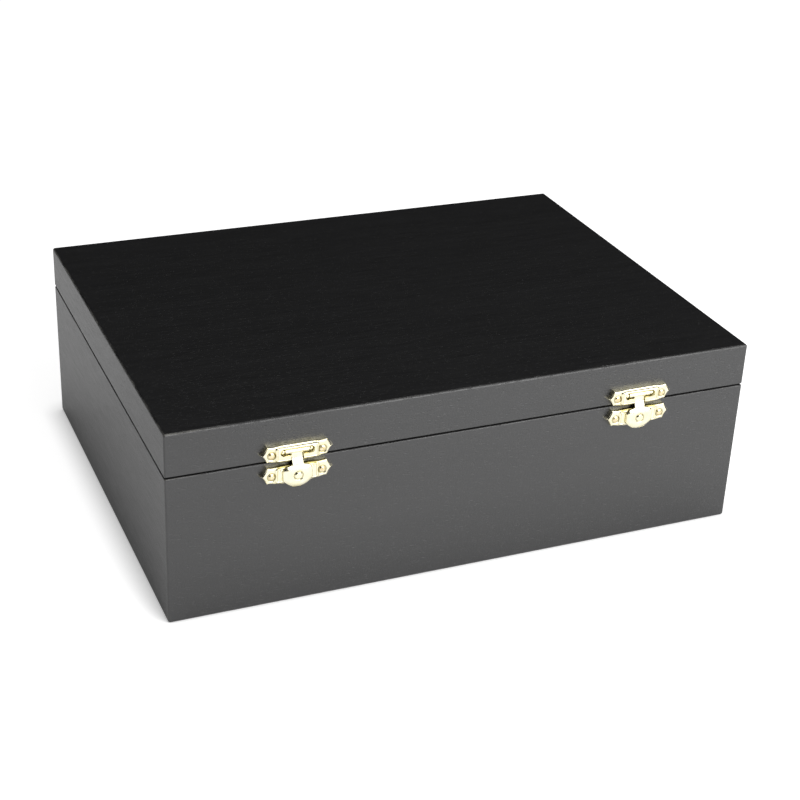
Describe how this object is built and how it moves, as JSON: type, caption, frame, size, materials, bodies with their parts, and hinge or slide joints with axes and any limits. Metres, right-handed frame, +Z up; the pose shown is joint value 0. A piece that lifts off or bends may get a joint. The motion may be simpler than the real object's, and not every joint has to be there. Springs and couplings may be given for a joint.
{
  "type": "music box",
  "caption": "Black-painted wooden box with a hinged lid, brass catches at the front, and a wind-up comb movement under a clear cover inside.",
  "frame": {"origin": "on the table under the middle of the box", "axes": "+X to the right, +Z up, the front with its catches faces -Y"},
  "size_m": [0.272, 0.213, 0.09],
  "materials": {
    "painted_wood": "thin satin black paint over grained wood",
    "felt": "pressed wool felt",
    "clear_acrylic": "clear polished sheet",
    "brass_plated_catch": "pale bright brass plating on stamped sheet",
    "brass_nails": "brass-plated nail heads",
    "hinge_brass": "brass-plated pressed leaves",
    "plated_steel": "nickel-plated steel",
    "spring_steel": "ground and hardened spring steel",
    "movement_brass": "turned and stamped brass",
    "cast_bed": null
  },
  "bodies": {
    "case": {"front_board": "painted_wood", "back_board": "painted_wood", "left_board": "painted_wood", "right_board": "painted_wood", "bottom_panel": "painted_wood", "long_partition": "painted_wood", "cross_partition": "painted_wood", "cover_cleats": "painted_wood", "clear_cover": "clear_acrylic", "cover_screws": "plated_steel", "movement_screws": "plated_steel", "floor_felts": "felt", "left_hinge_case_leaf": "hinge_brass", "right_hinge_case_leaf": "hinge_brass", "hinge_pins": "hinge_brass", "hinge_case_screws": "hinge_brass", "left_catch_case_plate": "brass_plated_catch", "right_catch_case_plate": "brass_plated_catch", "case_catch_nails": "brass_nails", "bedplate": "cast_bed", "spring_housing": "plated_steel", "mainspring": "spring_steel", "inner_bracket": "movement_brass", "outer_bracket": "movement_brass", "governor_bracket": "movement_brass", "governor_frame": "movement_brass", "bracket_screws": "plated_steel", "comb": "spring_steel", "comb_screws": "plated_steel", "lever_post": "plated_steel"},
    "lid": {"lid_top_panel": "painted_wood", "lid_front_rail": "painted_wood", "lid_back_rail": "painted_wood", "lid_left_rail": "painted_wood", "lid_right_rail": "painted_wood", "lid_felt": "felt", "lid_peg": "painted_wood", "left_hinge_lid_leaf": "hinge_brass", "right_hinge_lid_leaf": "hinge_brass", "hinge_lid_screws": "hinge_brass", "left_catch_lid_plate": "brass_plated_catch", "right_catch_lid_plate": "brass_plated_catch", "lid_catch_nails": "brass_nails"},
    "left_tongue": {"left_catch_tongue": "brass_plated_catch"},
    "right_tongue": {"right_catch_tongue": "brass_plated_catch"},
    "winding_train": {"winding_key": "plated_steel", "winding_arbor": "plated_steel", "crown_wheel": "movement_brass", "ratchet_wheel": "movement_brass", "ratchet_click": "plated_steel", "arbor_clip": "plated_steel"},
    "music_cylinder": {"cylinder": "movement_brass", "cylinder_pins": "plated_steel", "cylinder_arbor": "plated_steel", "cylinder_pinion": "movement_brass", "cylinder_wheel": "movement_brass"},
    "governor": {"governor_wheel": "movement_brass"},
    "fan_spindle": {"worm_spindle": "plated_steel", "fan": "movement_brass"},
    "stop": {"stop_lever": "plated_steel"}
  },
  "joints": [
    {"name": "lid_hinge", "type": "hinge", "parent": "case", "child": "lid", "pos_m": [0, 0.1046, 0.0698], "axis": [-1, 0, 0], "range_deg": [0, 100]},
    {"name": "left_catch_hinge", "type": "hinge", "parent": "lid", "child": "left_tongue", "pos_m": [-0.0805, -0.1035, 0.0745], "axis": [-1, 0, 0], "range_deg": [0, 110]},
    {"name": "right_catch_hinge", "type": "hinge", "parent": "lid", "child": "right_tongue", "pos_m": [0.0805, -0.1035, 0.0745], "axis": [-1, 0, 0], "range_deg": [0, 110]},
    {"name": "key_turn", "type": "hinge", "parent": "case", "child": "winding_train", "pos_m": [0.078, 0.062, 0.02], "axis": [0, 0, 1], "continuous": true},
    {"name": "cylinder_turn", "type": "hinge", "parent": "case", "child": "music_cylinder", "pos_m": [0.095, 0.062, 0.04197], "axis": [1, 0, 0], "continuous": true},
    {"name": "governor_turn", "type": "hinge", "parent": "case", "child": "governor", "pos_m": [0.103, 0.07288, 0.0369], "axis": [1, 0, 0], "continuous": true},
    {"name": "fan_turn", "type": "hinge", "parent": "case", "child": "fan_spindle", "pos_m": [0.108, 0.07838, 0.0369], "axis": [0, 0, 1], "continuous": true},
    {"name": "stop_lever_turn", "type": "hinge", "parent": "case", "child": "stop", "pos_m": [0.1008, 0.089, 0.052], "axis": [-1, 0, 0], "range_deg": [0, 12]}
  ],
  "couplings": [
    {"joint": "cylinder_turn", "follows": "key_turn", "ratio": 3},
    {"joint": "governor_turn", "follows": "key_turn", "ratio": -9},
    {"joint": "fan_turn", "follows": "key_turn", "ratio": 72},
    {"joint": "stop_lever_turn", "follows": "lid_hinge", "ratio": 0.12}
  ]
}
